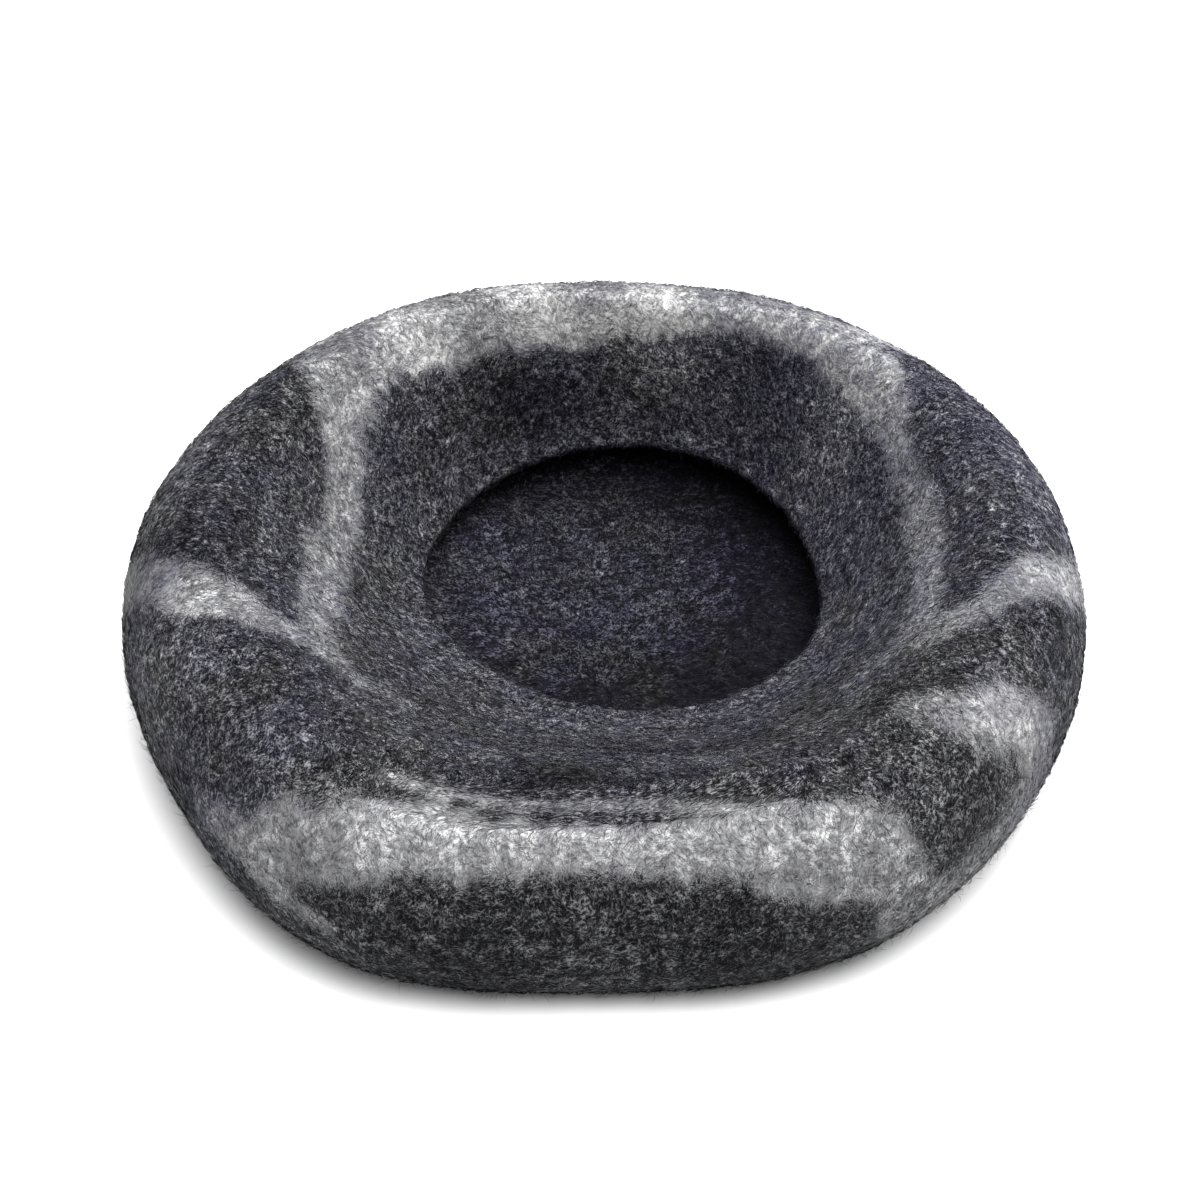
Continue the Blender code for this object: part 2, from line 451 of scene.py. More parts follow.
def smooth_noise(points: np.ndarray, size: float, seed: float) -> np.ndarray:
    """Smooth noise of about -1 to 1 at each point, with lumps of this size."""
    shift = Vector((seed, 1.7 * seed, -0.6 * seed))
    flat = points.reshape(-1, 3) / size
    values = [noise.noise(Vector(p) + shift) for p in flat]
    return np.array(values).reshape(points.shape[:-1])


def unit(vectors: np.ndarray) -> np.ndarray:
    """The vectors at length 1."""
    return vectors / np.maximum(np.linalg.norm(vectors, axis=-1, keepdims=True), 1e-12)


@dataclass
class FeltForm:
    """The surface that the felt follows: its sections, slow waves, crease and unevenness."""

    entrance: tuple[float, float] = (0.018, 0.085)
    middle: tuple[float, float] = (0.00052, 0.00597)  # of the outline, which goes to the origin
    underside_fullness: float = 2.1
    shoulder_fullness: float = 2.15
    outer_share: float = 14 / 32  # of the way from foot to entrance, up to the crest
    crowding: float = 1.25
    columns: int = 640
    outer_rows: int = 58
    inner_rows: int = 58
    samples: int = 120
    edge_round: float = 0.003
    settle: float = 0.02  # how far up from the foot the wall is even
    crease: Crease = Crease()
    waves: tuple[Wave, ...] = (
        Wave(0.0008, 3, 9.0, 0.6),
        Wave(0.0005, 5, -14.0, 2.1),
        Wave(0.0003, 8, 21.0, 4.0),
    )
    lumps: tuple[Lump, ...] = (
        Lump(0.030, 0.0007),
        Lump(0.012, 0.0004),
        Lump(0.0062, 0.0003),
    )

    def section_values(self, angles: np.ndarray) -> dict[str, np.ndarray]:
        """Each size of the section at these angles: closed smooth curves through the table."""
        names = [f.name for f in fields(Section)]
        table = np.array([[getattr(row, name) for name in names] for row in SECTIONS])
        place = (np.degrees(angles) - table[0, 0]) * len(table) / 360.0
        first = np.floor(place).astype(int)
        t = (place - first)[:, None]
        rows = [table[(first + k) % len(table)] for k in (-1, 0, 1, 2)]
        weights = (
            0.5 * (-t + 2 * t**2 - t**3),
            0.5 * (2 - 5 * t**2 + 3 * t**3),
            0.5 * (t + 4 * t**2 - 3 * t**3),
            0.5 * (-(t**2) + t**3),
        )
        values = sum(w * row for w, row in zip(weights, rows))
        return {name: values[:, [i]] for i, name in enumerate(names)}

    def outer_wall(self, size: dict[str, np.ndarray], out: np.ndarray) -> np.ndarray:
        """Points from the foot to the crest, for each column."""
        turn = math.pi * (np.linspace(0, 1, self.samples)[None, :] - 0.5)
        bulge = np.cos(turn).clip(0)
        rise = np.sin(turn)
        low = 2 / self.underside_fullness
        high = 2 / self.shoulder_fullness
        below = size["foot"] + (size["reach"] - size["foot"]) * bulge**low
        above = size["reach"] - size["roll"] + size["roll"] * bulge**high
        up_to_belly = size["belly"] * (1 - np.abs(rise) ** low)
        over_belly = size["belly"] + (size["crest"] - size["belly"]) * rise.clip(0) ** high
        radius = np.where(rise < 0, below, above)
        height = np.where(rise < 0, up_to_belly, over_belly)
        return out[:, None, :] * radius[:, :, None] + UP * height[:, :, None]

    def inner_wall(self, size: dict[str, np.ndarray], crest: np.ndarray, out: np.ndarray) -> np.ndarray:
        """Points from the crest to the entrance's edge, for each column."""
        edge = np.array((*self.entrance, 0.0)) + out * size["mouth"]
        edge[:, 2] = size["lip"][:, 0]
        inward = edge - crest
        inward[:, 2] = 0.0
        inward = unit(inward)
        slope = np.radians(size["fall"])
        arrival = inward * np.cos(slope) - UP * np.sin(slope)
        leave = crest + inward * size["turn"]
        arrive = edge - arrival * size["flare"]
        t = (np.linspace(0, 1, self.samples) ** self.crowding)[None, :, None]
        s = 1 - t
        ends = [p[:, None, :] for p in (crest, leave, arrive, edge)]
        shares = (s**3, 3 * s * s * t, 3 * s * t * t, t**3)
        return sum(share * end for share, end in zip(shares, ends))

    def waved(self, wall: np.ndarray, angles: np.ndarray, out: np.ndarray) -> np.ndarray:
        """The walls with the slow waves and the crease."""
        samples = self.samples
        steps = np.linspace(0, 1, samples)
        outer = self.outer_share * steps
        inner = self.outer_share + (1 - self.outer_share) * steps[1:]
        along = np.concatenate([outer, inner])[None, :]
        turn = angles[:, None]
        settle = np.sqrt(np.sin(math.pi * along).clip(0))
        rise = settle * sum(
            w.height * np.sin(w.around * turn + w.along * along + w.phase) for w in self.waves
        )
        rise = rise + self.crease.rise(turn, self.arc(wall, samples - 1))
        sideways = np.stack([-out[:, 1], out[:, 0], 0 * out[:, 0]], axis=-1)[:, None, :]
        normal = unit(np.cross(np.broadcast_to(sideways, wall.shape), np.gradient(wall, axis=1)))
        return wall + normal * rise[:, :, None]

    @staticmethod
    def arc(wall: np.ndarray, crest: int) -> np.ndarray:
        """The distance over the felt from the crest's sample, for each column and sample."""
        steps = np.linalg.norm(np.diff(wall, axis=1), axis=2)
        run = np.concatenate([np.zeros((len(wall), 1)), np.cumsum(steps, axis=1)], axis=1)
        return run - run[:, [crest]]

    def even_rows(self, wall: np.ndarray) -> tuple[np.ndarray, np.ndarray]:
        """The walls with their rows evenly apart on each side of the crest.

        Returns:
            The points, and how far inside the crest each is.
        """
        run = self.arc(wall, self.samples - 1)
        outer = np.linspace(1, 0, self.outer_rows + 1)
        inner = np.linspace(0, 1, self.inner_rows + 1)[1:]
        points = np.empty((len(wall), self.outer_rows + self.inner_rows + 1, 3))
        inside = np.empty(points.shape[:2])
        for k, (column, at) in enumerate(zip(wall, run)):
            wanted = np.concatenate([at[0] * outer, (at[-1] - self.edge_round) * inner])
            inside[k] = wanted
            for axis in range(3):
                points[k, :, axis] = np.interp(wanted, at, column[:, axis])
        return points, inside

    def grid(self) -> Grid:
        """The visible face, from the foot over the rim to the entrance's edge."""
        angles = math.tau * np.arange(self.columns) / self.columns
        out = np.stack([np.cos(angles), np.sin(angles), 0 * angles], axis=-1)
        size = self.section_values(angles)
        outer = self.outer_wall(size, out)
        inner = self.inner_wall(size, outer[:, -1], out)
        wall = self.waved(np.concatenate([outer, inner[:, 1:]], axis=1), angles, out)
        points, inside = self.even_rows(wall)
        points[:, :, :2] -= np.array(self.middle)
        normals = self.normals(points)
        points += normals * (self.lumpiness(points) * self.settled(inside))[:, :, None]
        return Grid(points, self.normals(points), inside)

    def lumpiness(self, points: np.ndarray) -> np.ndarray:
        """The felt's own unevenness at each point, in metres."""
        return sum(
            lump.height * smooth_noise(points, lump.size, Seed.LUMP + 5.0 * k)
            for k, lump in enumerate(self.lumps)
        )

    def settled(self, inside: np.ndarray) -> np.ndarray:
        """0 at the foot, which rests on the floor, growing to 1 up the wall."""
        return ((inside - inside[:, [0]]) / self.settle).clip(0, 1)

    @staticmethod
    def normals(points: np.ndarray) -> np.ndarray:
        """The outward direction at each point of the columns."""
        around = np.roll(points, -1, axis=0) - np.roll(points, 1, axis=0)
        return unit(np.cross(around, np.gradient(points, axis=1)))


# ---------------------------------------------------------------------------------------------
# The light bands
# ---------------------------------------------------------------------------------------------


@dataclass
class BandMap:
    """The bands of light wool as rows of balls along the felt: places, half widths and lightness."""

    centres: np.ndarray
    halves: np.ndarray
    lights: np.ndarray
    chunk: int = 4000
    blend: float = 0.004  # how much further off another band still counts

    @classmethod
    def on(cls, grid: Grid, between: int = 7) -> "BandMap":
        """Lays the bands of the table on the felt.

        Args:
            grid: the felt's visible face.
            between: how many places each step of the table is divided into.

        Returns:
            The map.
        """
        rows = []
        for band in BANDS.values():
            for a, b in zip(band, band[1:]):
                for k in range(between):
                    rows.append([p + (q - p) * k / between for p, q in zip(a, b)])
            rows.append(list(band[-1]))
        centres = [grid.place(bearing, inside * MM) for bearing, inside, _, _ in rows]
        table = np.array(rows)
        return cls(np.array(centres), table[:, 2] * MM, table[:, 3])

    def read(self, points: np.ndarray) -> tuple[np.ndarray, np.ndarray, np.ndarray]:
        """How far each point is outside the nearest band, how light that is, and its half width."""
        far = np.empty(len(points))
        light = np.empty(len(points))
        half = np.empty(len(points))
        for start in range(0, len(points), self.chunk):
            some = points[start : start + self.chunk]
            apart = np.linalg.norm(some[:, None, :] - self.centres[None], axis=2) - self.halves
            nearest = apart.argmin(axis=1)
            row = np.arange(len(some))
            far[start : start + self.chunk] = apart[row, nearest]
            weight = np.exp(-(apart - apart[row, nearest][:, None]) / self.blend)
            light[start : start + self.chunk] = (weight * self.lights).sum(1) / weight.sum(1)
            half[start : start + self.chunk] = self.halves[nearest]
        return far, light, half


@dataclass(frozen=True)
class RaggedEdge:
    """How the edge of a band wanders and breaks into fingers that point straight over the rim."""

    across: float = 0.0052  # from finger to finger
    along: float = 0.020  # the length of a finger
    reach: float = 0.0062
    sway_size: float = 0.028
    sway: float = 0.0065
    least_at: float = 0.0025  # the half width of a band whose edge is all but even
    full_at: float = 0.013  # the half width of a band from which its edge is as ragged as this
    least: float = 0.08  # how ragged an even edge is, to 1
    radius: float = 0.24  # of the bed, about

    def share(self, half: np.ndarray) -> np.ndarray:
        """How ragged the edge of a band of this half width is, to 1."""
        return ((half - self.least_at) / (self.full_at - self.least_at)).clip(self.least, 1.0)

    def streaks(self, grid: Grid, seed: float) -> np.ndarray:
        """Noise of about -1 to 1 at each point of the visible face, drawn out straight over the rim."""
        columns = len(grid.points)
        turn = math.tau * np.arange(columns)[:, None] / columns
        around = self.radius / self.across
        flat = [np.cos(turn) * around + 0 * grid.inside, np.sin(turn) * around + 0 * grid.inside]
        return smooth_noise(np.stack([*flat, grid.inside / self.along], axis=-1), 1.0, seed)

    def offset(self, grid: Grid) -> np.ndarray:
        """How far the edge is moved at each point of the visible face, in metres."""
        sway = self.sway * smooth_noise(grid.points, self.sway_size, Seed.SWAY)
        return self.reach * self.streaks(grid, Seed.RAGGED) + sway


# ---------------------------------------------------------------------------------------------
# Finishes
# ---------------------------------------------------------------------------------------------


# The three layers of fibres: the attribute that holds how each lies, and where its noise is read.
LAYERS = {"lay_first": 0.31, "lay_second": 0.77, "lay_third": 1.13}


@dataclass(frozen=True)
class WoolColours:
    """The wool from its darkest lock to its lightest, as one scale of shades from 0 to 1."""

    stops: tuple[tuple[float, tuple[float, float, float]], ...] = (
        (0.00, (0.0013, 0.0013, 0.0015)),
        (0.25, (0.0080, 0.0080, 0.0089)),
        (0.50, (0.0400, 0.0400, 0.0430)),
        (0.75, (0.140, 0.140, 0.145)),
        (1.00, (0.520, 0.520, 0.513)),
    )
    violet: tuple[float, float, float] = (-0.04, -0.12, 0.68)  # what it adds, as a share
    roughness: float = 0.95
    sheen: float = 0.05
    specular: float = 0.04
    sheen_roughness: float = 0.45
    sheen_tint: tuple[float, float, float, float] = (0.78, 0.80, 0.86, 1.0)

    def surface(self, shader: Shader, values: dict) -> bpy.types.Node:
        """The wool's own shader, with what varies over it."""
        constant = {
            "Sheen Weight": self.sheen,
            "Sheen Roughness": self.sheen_roughness,
            "Sheen Tint": self.sheen_tint,
            "Specular IOR Level": self.specular,
            "Metallic": 0.0,
        }
        return shader.node("ShaderNodeBsdfPrincipled", {}, {**constant, **values})

    def colour(self, shader: Shader, shade: Field, violet: Field) -> bpy.types.NodeSocket:
        """The colour of each shade, with its share of violet in the darker ones."""
        grey = shader.node("ShaderNodeValToRGB", {"stops": self.stops}, {"Fac": shade}).outputs[0]
        amount = violet * (shade * -1.25 + 1.0).larger(0.0)
        added = shader.scaled(self.violet, amount)
        return shader.vector_math("MULTIPLY", grey, shader.vector_math("ADD", added, (1.0, 1.0, 1.0)))


@dataclass(frozen=True)
class FeltFinish:
    """Matted wool: crossing fibres in locks of every shade, with ragged light bands."""

    wool: WoolColours = WoolColours()
    fibre_width: float = 0.00060
    fibre_step: float = 0.00065
    fibre_looks: int = 4
    fibre_contrast: float = 2.2
    grain_size: float = 0.0016
    lock_size: float = 0.0038
    patch_size: float = 0.011
    dark_ground: float = 0.15
    dark_hair: float = 0.46
    dark_mix: tuple[float, ...] = (0.62, 0.80, 0.30)  # of the mottle, the broad patches and the grain
    light_ground: float = 0.795
    light_gap: float = 0.135
    light_mottle: float = 0.42
    light_fibres: float = 0.22
    light_streak: float = 0.05
    light_tone: float = 0.80  # of the broad patches
    light_most: float = 0.90  # before the broad patches
    lightest: float = 0.96
    mottle_mix: tuple[float, ...] = (0.60, 0.65, 0.11)  # of the locks, the patches and the tufts
    hair_mix: tuple[float, ...] = (0.35, 0.30)  # of the locks and the grain
    hair_steps: tuple[float, float] = (0.53, 0.74)
    hair_gloss: float = 0.12
    gap_mix: tuple[float, ...] = (0.45, 0.70)  # of the locks and the grain
    gap_steps: tuple[float, float] = (0.42, 0.22)
    edge_mix: tuple[float, ...] = (1.4, 1.8, 1.2)  # of the fibres, the locks and the grain
    ragged: float = 0.012
    edge_soft: float = 0.0035
    relief: float = 0.0005
    relief_mix: tuple[float, ...] = (0.5, 0.2, 0.9, 0.4)  # of both fibres, the locks and the grain

    def fibres(self, shader: Shader, place: bpy.types.NodeSocket, lay: str, seed: float) -> Field:
        """Fine streaks that follow the way the wool lies: noise smeared along that direction.

        Args:
            shader: the material.
            place: the object's coordinates.
            lay: the mesh's attribute that holds the direction.
            seed: moves the noise to a place of its own.

        Returns:
            The streaks, 0 to 1 with most of it near a half.
        """
        way = shader.attribute(lay).outputs["Vector"]
        moved = shader.vector_math("ADD", place, (seed, -seed, 0.5 * seed))
        half = (self.fibre_looks - 1) / 2
        total: Number = 0.0
        for k in range(self.fibre_looks):
            step = shader.scaled(way, (k - half) * self.fibre_step)
            spot = shader.vector_math("ADD", moved, step)
            total = shader.noise(spot, self.fibre_width, 0.0) + total
        return (total / self.fibre_looks - 0.5) * self.fibre_contrast + 0.5

    def material(self) -> bpy.types.Material:
        """The felt's material."""
        shader = Shader("matted_wool")
        place = shader.node("ShaderNodeTexCoord", {}, {}).outputs["Object"]
        layers = [self.fibres(shader, place, lay, seed) for lay, seed in LAYERS.items()]
        top = layers[0].larger(layers[1]).larger(layers[2])
        low = layers[0].smaller(layers[1]).smaller(layers[2])
        grain = shader.noise(place, self.grain_size, 0.5) - 0.5
        lock = shader.noise(place, self.lock_size, 1.0) - 0.5
        patch = shader.noise(place, self.patch_size, 1.0) - 0.5
        # tone holds the broad patches: the wool's own tone, and painted light and shade.
        tuft, tone = shader.number("tuft"), shader.number("tone")

        fibres = (layers[0] - 0.5) * self.edge_mix[0]
        ragged = fibres.plus(self.edge_mix[1:], lock, grain)
        edge = shader.number("band_far") + ragged * shader.number("raggedness") * self.ragged
        band = edge.step(self.edge_soft, -self.edge_soft) * shader.number("band_light")

        mottle = (lock * self.mottle_mix[0]).plus(self.mottle_mix[1:], patch, tuft)
        hair = top.plus(self.hair_mix, lock, grain).step(*self.hair_steps)
        dark = self.dark_ground + hair * self.dark_hair
        dark = dark.plus(self.dark_mix, mottle, tone, grain)
        gap = low.plus(self.gap_mix, lock, grain).step(*self.gap_steps)
        light = self.light_ground - gap * self.light_gap + mottle * self.light_mottle
        light = light + (top - 0.6) * self.light_fibres
        light = light + shader.number("streak") * self.light_streak
        light = light.smaller(self.light_most) + tone * self.light_tone
        shade = dark.mixed(light, band).larger(0.0).smaller(self.lightest)

        height = (top * self.relief_mix[0]).plus(self.relief_mix[1:], low, lock, grain)
        bumps = {"Strength": 1.0, "Distance": self.relief, "Height": height}
        bump = shader.node("ShaderNodeBump", {}, bumps)
        rough = self.wool.roughness - hair * self.hair_gloss
        colour = self.wool.colour(shader, shade, shader.number("violet"))
        varied = {"Base Color": colour, "Roughness": rough, "Normal": bump.outputs[0]}
        return shader.finish(self.wool.surface(shader, varied))


@dataclass(frozen=True)
class FuzzFinish:
    """The loose fibres: each has one shade, a little darker at its root."""

    wool: WoolColours = WoolColours(sheen=0.0)
    root_shade: float = 0.86

    def material(self) -> bpy.types.Material:
        """The fibres' material."""
        shader = Shader("loose_wool_fibre")
        along = shader.number("along")
        shade = shader.number("shade") * (self.root_shade + (1 - self.root_shade) * along)
        rough = self.wool.roughness - 0.1 * along
        colour = self.wool.colour(shader, shade, shader.number("violet"))
        return shader.finish(self.wool.surface(shader, {"Base Color": colour, "Roughness": rough}))


@dataclass(frozen=True)
class StudioFinish:
    """The plain pale floor."""

    colour: tuple[float, float, float, float] = (0.84, 0.84, 0.84, 1.0)
    roughness: float = 0.8

    def material(self) -> bpy.types.Material:
        """The floor's material."""
        shader = Shader("pale_floor")
        place = shader.node("ShaderNodeTexCoord", {}, {}).outputs["Object"]
        rough = self.roughness + (shader.noise(place, 0.4, 1.0) - 0.5) * 0.04
        values = {"Base Color": self.colour, "Roughness": rough, "Specular IOR Level": 0.1}
        return shader.finish(shader.node("ShaderNodeBsdfPrincipled", {}, values))


# ---------------------------------------------------------------------------------------------
# The felt itself
# ---------------------------------------------------------------------------------------------


class MeshMaker:
    """Gathers points and faces, ring by ring."""

    def __init__(self) -> None:
        """Starts empty."""
        self.points: list[np.ndarray] = []
        self.faces: list[tuple[int, ...]] = []
        self.count = 0

    def ring(self, points: np.ndarray) -> np.ndarray:
        """Adds a ring of points, and returns their numbers."""
        self.points.append(points)
        first = self.count
        self.count += len(points)
        return np.arange(first, self.count)

    def bridge(self, lower: np.ndarray, upper: np.ndarray) -> None:
        """Joins two rings; one may have a whole number of times as many points as the other."""
        fewest = min(len(lower), len(upper))
        low_step = len(lower) // fewest
        up_step = len(upper) // fewest
        for k in range(fewest):
            bottom = [lower[(k * low_step + j) % len(lower)] for j in range(low_step + 1)]
            top = [upper[(k * up_step + j) % len(upper)] for j in range(up_step + 1)]
            self.faces.append(tuple(int(i) for i in bottom + top[::-1]))

    def cap(self, ring: np.ndarray, middle: np.ndarray, inwards_last: bool) -> None:
        """Closes a ring with a fan to its middle."""
        pole = int(self.ring(middle[None])[0])
        for k, here in enumerate(ring):
            after = ring[(k + 1) % len(ring)]
            pair = (int(here), int(after)) if inwards_last else (int(after), int(here))
            self.faces.append((*pair, pole))

    def mesh(self, name: str) -> bpy.types.Mesh:
        """The mesh so far."""
        data = bpy.data.meshes.new(name)
        data.from_pydata(np.concatenate(self.points).tolist(), [], self.faces)
        data.update()
        return data


def new_object(name: str, data: bpy.types.Mesh) -> bpy.types.Object:
    """Puts a mesh in the scene as an object at the origin."""
    piece = bpy.data.objects.new(name, data)
    bpy.context.scene.collection.objects.link(piece)
    return piece


def store(data: bpy.types.Mesh, name: str, values: np.ndarray) -> None:
    """Keeps a number or a vector for each point of the mesh, under this name."""
    kind = "FLOAT" if values.ndim == 1 else "FLOAT_VECTOR"
    key = "value" if values.ndim == 1 else "vector"
    attribute = data.attributes.new(name, kind, "POINT")
    attribute.data.foreach_set(key, np.ascontiguousarray(values, np.float32).ravel())


@dataclass
class WayOfLying:
    """Which way the wool lies: about straight over the rim, and turning from lock to lock."""

    lock: float = 0.016
    fine: float = 0.006
    sway: float = 0.85  # radians
    fine_sway: float = 0.75
    noise_gain: float = 1.8  # the noise seldom reaches 1
    cross: float = 0.9  # between one layer and the next, radians
    fold_line: np.ndarray | None = None  # places along the front crease
    fold_reach: float = 0.0105
    fold_share: float = 0.92  # how far the crease draws the wool along the rim, to 1
    base_cross: float = 0.45  # how much less the layers cross on the base
    base_height: float = 0.008
    base_reach: float = 0.19

    def angles(self, points: np.ndarray, layer: int) -> np.ndarray:
        """How far the wool is turned from straight over the rim, at each point."""
        seed = Seed.WAY + 13.0 * layer
        turn = self.sway * self.noise_gain * smooth_noise(points, self.lock, seed)
        turn += self.fine_sway * self.noise_gain * smooth_noise(points, self.fine, seed + 5.0)
        reach = np.linalg.norm(points[:, :2], axis=1)
        base = (points[:, 2] < self.base_height) & (reach < self.base_reach)
        turn += self.cross * (layer - 1) * np.where(base, self.base_cross, 1.0)
        drawn = self.drawn_along(points)
        return turn * (1 - self.fold_share * drawn) + 0.5 * math.pi * drawn

    def drawn_along(self, points: np.ndarray) -> np.ndarray:
        """1 where the front crease draws the wool along the rim, 0 away from it."""
        nearest = np.full(len(points), np.inf)
        for place in self.fold_line:
            nearest = np.minimum(nearest, np.linalg.norm(points - place, axis=1))
        return np.exp(-((nearest / self.fold_reach) ** 2))

    def directions(self, points: np.ndarray, normals: np.ndarray, layer: int) -> np.ndarray:
        """The direction at each point, along the surface."""
        around = unit(np.cross(UP, points * (1.0 - UP)))
        over = unit(np.cross(normals, around))
        around = np.cross(over, normals)
        turn = self.angles(points, layer)[:, None]
        return over * np.cos(turn) + around * np.sin(turn)


@dataclass(frozen=True)
class VioletWool:
    """Where the dark wool has violet in it: most on the inner walls, none low at the front."""

    size: float = 0.05
    fine_size: float = 0.018
    front: float = -0.205  # before this there is almost none
    front_soft: float = 0.012
    front_loss: float = 0.85
    half_width: float = 0.25  # of the bed
    left_loss: float = 0.25
    right_gain: float = 0.9
    right_from: float = -0.05
    right_run: float = 0.2

    def share(self, points: np.ndarray) -> np.ndarray:
        """How violet the dark wool is at each point, 0 to 1."""
        broad = 0.5 + 0.55 * smooth_noise(points, self.size, Seed.VIOLET)
        broad = broad + 0.45 * smooth_noise(points, self.fine_size, Seed.FINE_VIOLET)
        front = 1 / (1 + np.exp((points[:, 1] - self.front) / self.front_soft))
        sideways = points[:, 0] / self.half_width
        back = ((points[:, 1] - self.right_from) / self.right_run).clip(-0.5, 1)
        sides = self.left_loss * sideways.clip(-1, 0)
        right = self.right_gain * (sideways.clip(0, 1) * back)
        return (broad * (1 - self.front_loss * front) + sides + right).clip(0, 1)


@dataclass
class FeltShell:
    """The whole cave: the visible face, the rounded edge of the entrance, and the hidden face."""

    form: FeltForm
    finish: FeltFinish = FeltFinish()
    lie: WayOfLying = field(default_factory=WayOfLying)
    name: str = "felt_shell_wool"
    thickness: float = 0.0065
    coarse: int = 4  # the hidden face has a quarter of the columns
    hidden_step: int = 3
    edge_rows: int = 4
    floor_ring: float = 0.0058  # between the rings of the base
    flat_size: tuple[float, float] = (0.70, 0.80)
    tuft_size: float = 0.0075
    ragged: RaggedEdge = RaggedEdge()
    broad_tone: float = 0.035
    broad_size: float = 0.045
    violet: VioletWool = VioletWool()
    # The cave's inside: darker wool, and painted shade that deepens away from where the base lies most
    # open, towards the crevices under the rim.
    inside_wool_and_painted_shade: float = -0.24
    inside_least: float = 1.05  # of that tone, where the base lies most open
    inside_shade_growth: float = 2.8  # how fast it grows darker away from there,
    inside_fade_from: float = 0.6  # from this share of lit_reach
    inside_fade_run: float = 0.9  # over this share
    lit_inside: tuple[float, float] = (-0.030, 0.110)  # where the base lies most open
    lit_reach: float = 0.130
    map_margin: float = 0.004  # round each part of the map for the bake
    map_strip: tuple[float, float] = (0.5, 0.33)  # the width and height of a quarter of the face
    map_disc: float = 0.165  # the radius of the rest
    map_discs: tuple[float, float] = (0.30, 0.80)  # where the hidden side and the underside go

    def build(self) -> bpy.types.Object:
        """Makes the closed mesh."""
        self.grid = self.form.grid()
        maker = MeshMaker()
        points, normals = self.grid.points, self.grid.normals
        rows = points.shape[1]
        rings = [maker.ring(points[:, row]) for row in range(rows)]
        uppermost = rings[-1]
        for lower, upper in zip(rings, rings[1:]):
            maker.bridge(lower, upper)

        # Round the edge of the entrance.
        middle, normal = points[:, -1] - normals[:, -1] * self.thickness / 2, normals[:, -1]
        onward = unit(points[:, -1] - points[:, -2])
        for k in range(1, self.edge_rows):
            turn = math.pi * k / self.edge_rows
            ring = middle + (normal * math.cos(turn) + onward * math.sin(turn)) * self.thickness / 2
            uppermost = self._joined(maker, uppermost, maker.ring(ring))

        # The hidden face, back over the rim and down to the base.
        few = slice(None, None, self.coarse)
        last = uppermost
        for row in [*range(rows - 1, 0, -self.hidden_step), 0]:
            ring = points[few, row] - normals[few, row] * self.thickness
            ring[:, 2] = np.maximum(ring[:, 2], self.thickness)
            last = self._joined(maker, last, maker.ring(ring))
        self._disc(maker, last, self.thickness, False)
        self._disc(maker, rings[0], 0.0, True)

        data = maker.mesh(self.name)
        data.shade_smooth()
        self.piece = new_object(self.name, data)
        return self.piece

    @staticmethod
    def _joined(maker: MeshMaker, last: np.ndarray, ring: np.ndarray) -> np.ndarray:
        """Bridges on to the next ring, and returns it."""
        maker.bridge(last, ring)
        return ring

    def _disc(self, maker: MeshMaker, rim: np.ndarray, height: float, underside: bool) -> None:
        """Fills the base inside a ring: rings that have fewer points as they grow smaller."""
        all_points = np.concatenate(maker.points)
        edge = all_points[rim]
        centre = edge.mean(axis=0)
        centre[2] = height
        step = self.floor_ring * (2.0 if underside else 1.0)
        radius = float(np.linalg.norm((edge - centre)[:, :2], axis=1).mean())
        steps = max(3, round(radius / step))
        last = rim
        for k in range(1, steps):
            share = 1 - k / steps
            count = len(last)
            wide = math.tau * radius * share / count
            fewer = self.coarse if k == 1 and underside else 2
            if wide < 0.7 * step and count % fewer == 0 and count // fewer >= 10:
                count //= fewer
            skip = len(rim) // count
            ring = centre + (edge[::skip] - centre) * share
            ring[:, 2] = height
            new = maker.ring(ring)
            if underside:
                maker.bridge(new, last)
            else:
                maker.bridge(last, new)
            last = new
        maker.cap(last, centre, not underside)

    def dress(self, bands: BandMap) -> None:
        """Gives the felt its bands, the way its wool lies, its map for the bake and its finish."""
        data = self.piece.data
        points, normals = (self._vertex_values(data, key) for key in ("co", "normal"))
        far, light, half = bands.read(points)
        shown = self.grid.inside.size
        hidden = np.arange(len(points)) >= shown + (self.edge_rows - 1) * len(self.grid.points)
        hidden &= points[:, 2] > 0.5 * self.thickness
        far = np.where(hidden, BARE, far)
        raggedness = self.ragged.share(half)
        streak = np.zeros(len(points))
        streak[:shown] = self.ragged.streaks(self.grid, Seed.STREAK).T.ravel()
        far[:shown] += raggedness[:shown] * self.ragged.offset(self.grid).T.ravel()
        felt = np.stack([far, light, raggedness, streak], axis=-1)
        self.grid.felt = felt[:shown].reshape(*self.grid.inside.T.shape, 4).swapaxes(0, 1)
        self.lie.fold_line = self._fold_line()
        for label, values in zip(("band_far", "band_light", "raggedness", "streak"), felt.T):
            store(data, label, values)
        store(data, "tuft", smooth_noise(points, self.tuft_size, Seed.TUFT))
        # tone: the wool's own broad tone, with painted light and shade.
        store(data, "tone", self.tone(points, hidden))
        store(data, "violet", self.violet.share(points))
        for layer, label in enumerate(LAYERS):
            store(data, label, self.lie.directions(points, normals, layer))
        self._map_for_bake(data, points)
        data.materials.append(self.finish.material())

    @staticmethod
    def _vertex_values(data: bpy.types.Mesh, key: str) -> np.ndarray:
        """A vector of each vertex."""
        values = np.empty(len(data.vertices) * 3)
        data.vertices.foreach_get(key, values)
        return values.reshape(-1, 3)

    def _fold_line(self) -> np.ndarray:
        """Places along the front crease, where the wool lies along the rim."""
        span = np.linspace(-114, -66, 24)
        rows = [(bearing, inside) for inside in (-4.0, 7.0) for bearing in span]
        return np.array([self.grid.place(bearing, inside * MM) for bearing, inside in rows])

